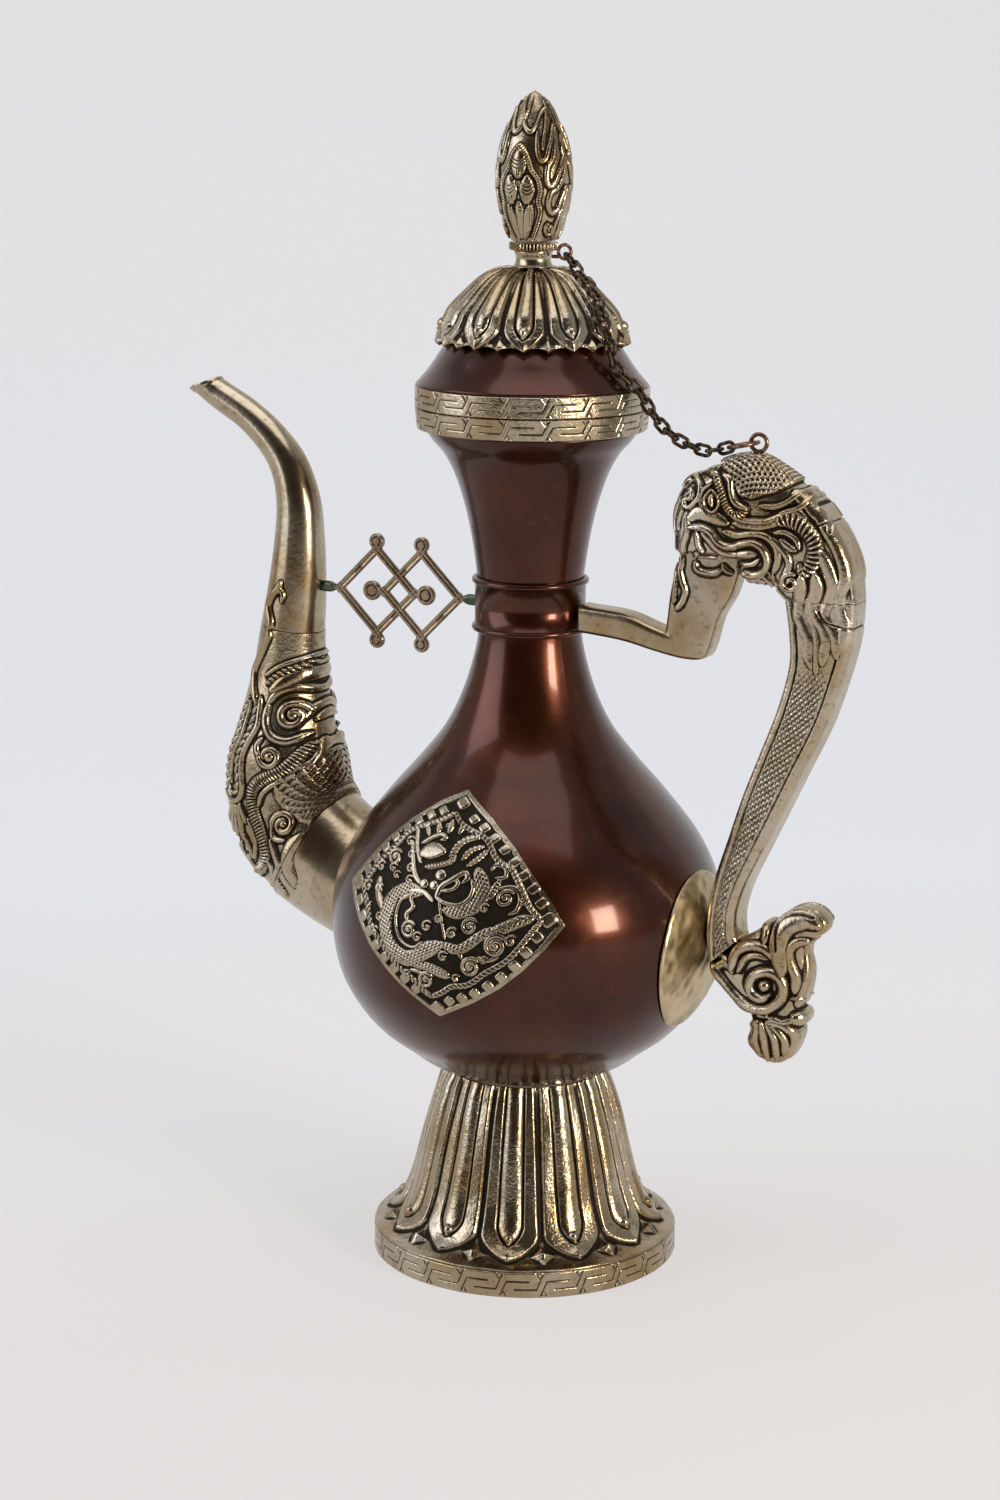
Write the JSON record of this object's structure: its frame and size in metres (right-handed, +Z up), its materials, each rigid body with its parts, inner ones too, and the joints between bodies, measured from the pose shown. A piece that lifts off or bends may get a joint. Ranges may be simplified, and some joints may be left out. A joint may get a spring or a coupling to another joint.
{
  "type": "tibetan ewer",
  "caption": "Lidded ceremonial ewer: dark copper vessel on an embossed lotus foot, with a makara spout, a dragon handle, a jewel finial and a chain from lid to handle",
  "frame": {"origin": "on the surface that the ewer stands on, under the middle of its bounding box", "axes": "+Z up along the vessel axis, -X towards the spout, +X towards the handle, -Y and +Y towards the medallions"},
  "size_m": [0.2526, 0.1394, 0.4],
  "materials": {
    "patinated_copper": "dark brown-red patinated copper, softly polished",
    "embossed_white_metal": "embossed and chased pale nickel brass with black in its recesses",
    "brushed_brass": "hammered and brushed pale brass sheet",
    "dark_bronze": "dull dark bronze wire",
    "copper_wire": "warm copper wire, slightly worn"
  },
  "bodies": {
    "vessel": {"foot_shell": "embossed_white_metal", "foot_band": "embossed_white_metal", "belly": "patinated_copper", "neck": "patinated_copper", "neck_collar": "patinated_copper", "mouth_ring": "embossed_white_metal", "medallion_front": "embossed_white_metal", "medallion_back": "embossed_white_metal", "handle_plate": "brushed_brass", "spout_collar": "embossed_white_metal", "makara_head": "embossed_white_metal", "spout_tube": "embossed_white_metal", "endless_knot_strut": "embossed_white_metal", "handle_arm": "embossed_white_metal", "dragon_head": "embossed_white_metal", "handle_grip": "embossed_white_metal", "handle_scroll": "embossed_white_metal", "handle_eye": "copper_wire"},
    "lid": {"lid_band": "embossed_white_metal", "lid_spigot": "embossed_white_metal", "lid_dome": "patinated_copper", "lotus_cap": "embossed_white_metal", "finial_stem": "embossed_white_metal", "finial_bud": "embossed_white_metal", "lid_eye": "copper_wire", "chain_link_01": "dark_bronze", "chain_link_02": "dark_bronze", "chain_link_03": "dark_bronze", "chain_link_04": "dark_bronze", "chain_link_05": "dark_bronze", "chain_link_06": "dark_bronze", "chain_link_07": "dark_bronze", "chain_link_08": "dark_bronze", "chain_link_09": "dark_bronze"},
    "chain_upper_body": {"chain_link_10": "dark_bronze", "chain_link_11": "dark_bronze", "chain_link_12": "dark_bronze", "chain_link_13": "dark_bronze"},
    "chain_middle_body": {"chain_link_14": "dark_bronze", "chain_link_15": "dark_bronze", "chain_link_16": "dark_bronze", "chain_link_17": "dark_bronze"},
    "chain_lower_body": {"chain_link_18": "dark_bronze", "chain_link_19": "dark_bronze", "chain_link_20": "dark_bronze", "chain_link_21": "dark_bronze"},
    "chain_end_body": {"chain_link_22": "dark_bronze", "chain_link_23": "dark_bronze", "chain_link_24": "dark_bronze"},
    "chain_ring_body": {"chain_ring": "copper_wire"}
  },
  "joints": [
    {"name": "lid_lift", "type": "slide", "parent": "vessel", "child": "lid", "axis": [0, 0, 1], "range_m": [0, 0.011]},
    {"name": "chain_upper_swing", "type": "hinge", "parent": "lid", "child": "chain_upper_body", "pos_m": [0.04069, -0.01068, 0.31932], "axis": [0, 1, 0], "range_deg": [-7.95, 0.5]},
    {"name": "chain_middle_swing", "type": "hinge", "parent": "chain_upper_body", "child": "chain_middle_body", "pos_m": [0.047, -0.00651, 0.30619], "axis": [0, 1, 0], "range_deg": [-0.5, 6.47]},
    {"name": "chain_lower_swing", "type": "hinge", "parent": "chain_middle_body", "child": "chain_lower_body", "pos_m": [0.05589, -0.0039, 0.2936], "axis": [0, 1, 0], "range_deg": [-0.5, 13]},
    {"name": "chain_end_swing", "type": "hinge", "parent": "chain_lower_body", "child": "chain_end_body", "pos_m": [0.06915, -0.00168, 0.28564], "axis": [0, 1, 0], "range_deg": [-0.5, 16.44]},
    {"name": "chain_ring_swing", "type": "hinge", "parent": "chain_end_body", "child": "chain_ring_body", "pos_m": [0.07922, 0, 0.28681], "axis": [0, 1, 0], "range_deg": [-0.5, 2.57]}
  ],
  "couplings": [
    {"joint": "chain_upper_swing", "follows": "lid_lift", "rad_per_m": -11.813},
    {"joint": "chain_middle_swing", "follows": "lid_lift", "rad_per_m": 9.4652},
    {"joint": "chain_lower_swing", "follows": "lid_lift", "rad_per_m": 19.829},
    {"joint": "chain_end_swing", "follows": "lid_lift", "rad_per_m": 25.299},
    {"joint": "chain_ring_swing", "follows": "lid_lift", "rad_per_m": 3.287}
  ]
}
